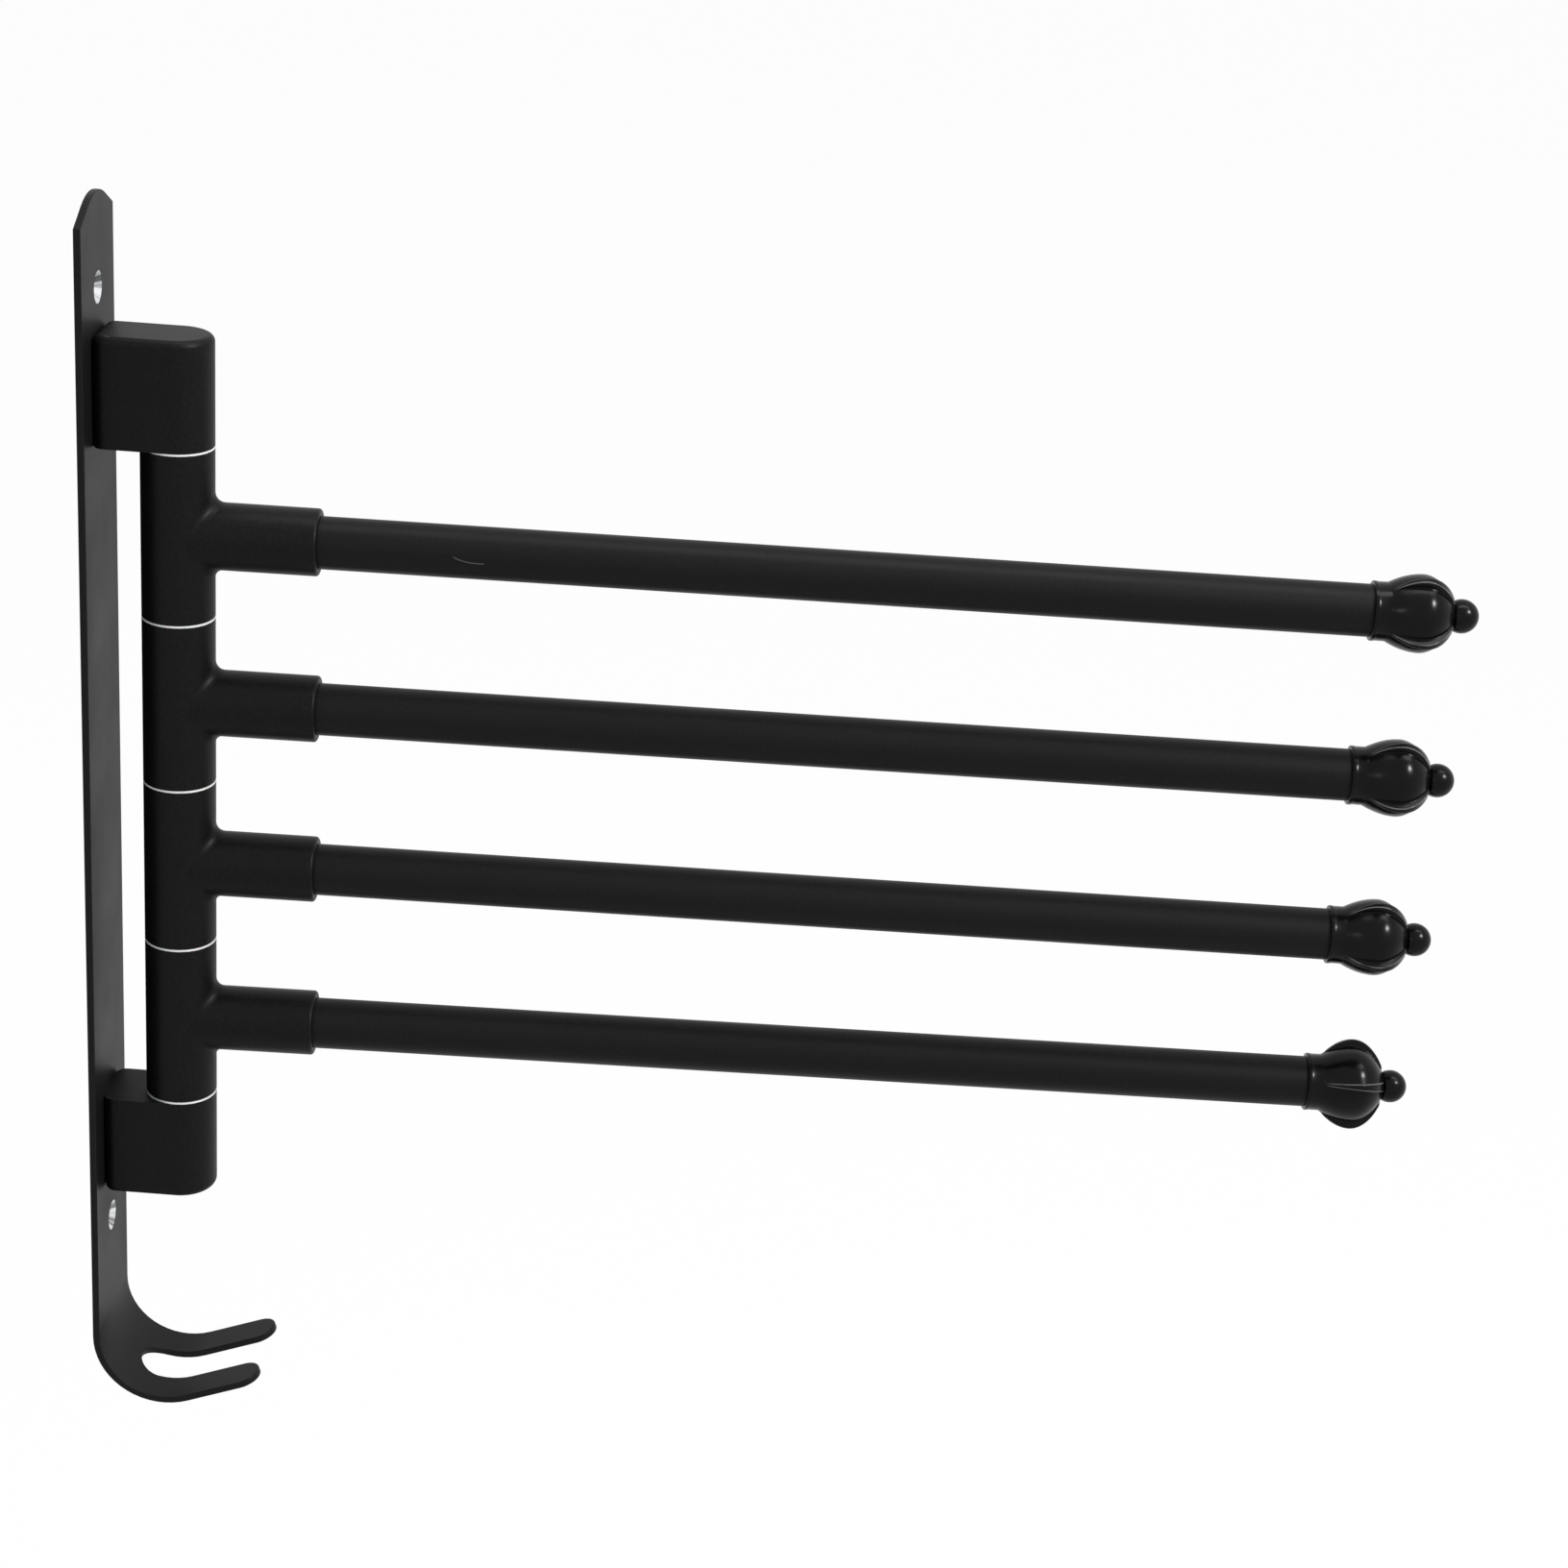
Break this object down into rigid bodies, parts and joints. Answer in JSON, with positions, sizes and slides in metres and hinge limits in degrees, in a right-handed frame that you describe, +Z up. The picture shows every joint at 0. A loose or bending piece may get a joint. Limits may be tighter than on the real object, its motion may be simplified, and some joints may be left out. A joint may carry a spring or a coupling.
{
  "type": "wall towel rack",
  "caption": "Swivel towel rack: a wall plate with a forked hook at its foot carries stacked arms that turn about one upright bolt, each ending in a finned finial.",
  "frame": {"origin": "on the wall face, midway between the two wall screws", "axes": "+X along the wall, +Y into the wall, +Z up; the arms reach out along -Y"},
  "size_m": [0.0476, 0.4154, 0.3928],
  "materials": {
    "black_coated_aluminium": "satin black coating",
    "black_coated_casting": "satin black coating",
    "black_coated_tube": "satin black coating",
    "gloss_black_plastic": "glossy moulded",
    "white_nylon": "moulded",
    "zinc_plated_steel": "zinc plated"
  },
  "bodies": {
    "wall_unit": {"wall_plate": "black_coated_aluminium", "upper_bracket": "black_coated_casting", "lower_bracket": "black_coated_casting", "bracket_screws": "zinc_plated_steel", "pivot_bolt": "zinc_plated_steel", "pivot_lock_washer": "zinc_plated_steel", "spacer_washer_1": "white_nylon", "spacer_washer_2": "white_nylon", "spacer_washer_3": "white_nylon", "spacer_washer_4": "white_nylon", "spacer_washer_5": "white_nylon"},
    "arm_1": {"arm_1_knuckle": "black_coated_casting", "arm_1_tube": "black_coated_tube", "arm_1_upper_bush": "white_nylon", "arm_1_lower_bush": "white_nylon", "arm_1_finial": "gloss_black_plastic"},
    "arm_2": {"arm_2_knuckle": "black_coated_casting", "arm_2_tube": "black_coated_tube", "arm_2_upper_bush": "white_nylon", "arm_2_lower_bush": "white_nylon", "arm_2_finial": "gloss_black_plastic"},
    "arm_3": {"arm_3_knuckle": "black_coated_casting", "arm_3_tube": "black_coated_tube", "arm_3_upper_bush": "white_nylon", "arm_3_lower_bush": "white_nylon", "arm_3_finial": "gloss_black_plastic"},
    "arm_4": {"arm_4_knuckle": "black_coated_casting", "arm_4_tube": "black_coated_tube", "arm_4_upper_bush": "white_nylon", "arm_4_lower_bush": "white_nylon", "arm_4_finial": "gloss_black_plastic"}
  },
  "joints": [
    {"name": "arm_1_swivel", "type": "hinge", "parent": "wall_unit", "child": "arm_1", "pos_m": [0, -0.0252, 0.0804], "axis": [0, 0, 1], "range_deg": [-91.6, 88.4]},
    {"name": "arm_2_swivel", "type": "hinge", "parent": "wall_unit", "child": "arm_2", "pos_m": [0, -0.0252, 0.0271], "axis": [0, 0, 1], "range_deg": [-91.65, 88.35]},
    {"name": "arm_3_swivel", "type": "hinge", "parent": "wall_unit", "child": "arm_3", "pos_m": [0, -0.0252, -0.0262], "axis": [0, 0, 1], "range_deg": [-91.55, 88.45]},
    {"name": "arm_4_swivel", "type": "hinge", "parent": "wall_unit", "child": "arm_4", "pos_m": [0, -0.0252, -0.0795], "axis": [0, 0, 1], "range_deg": [-92.15, 87.85]}
  ]
}
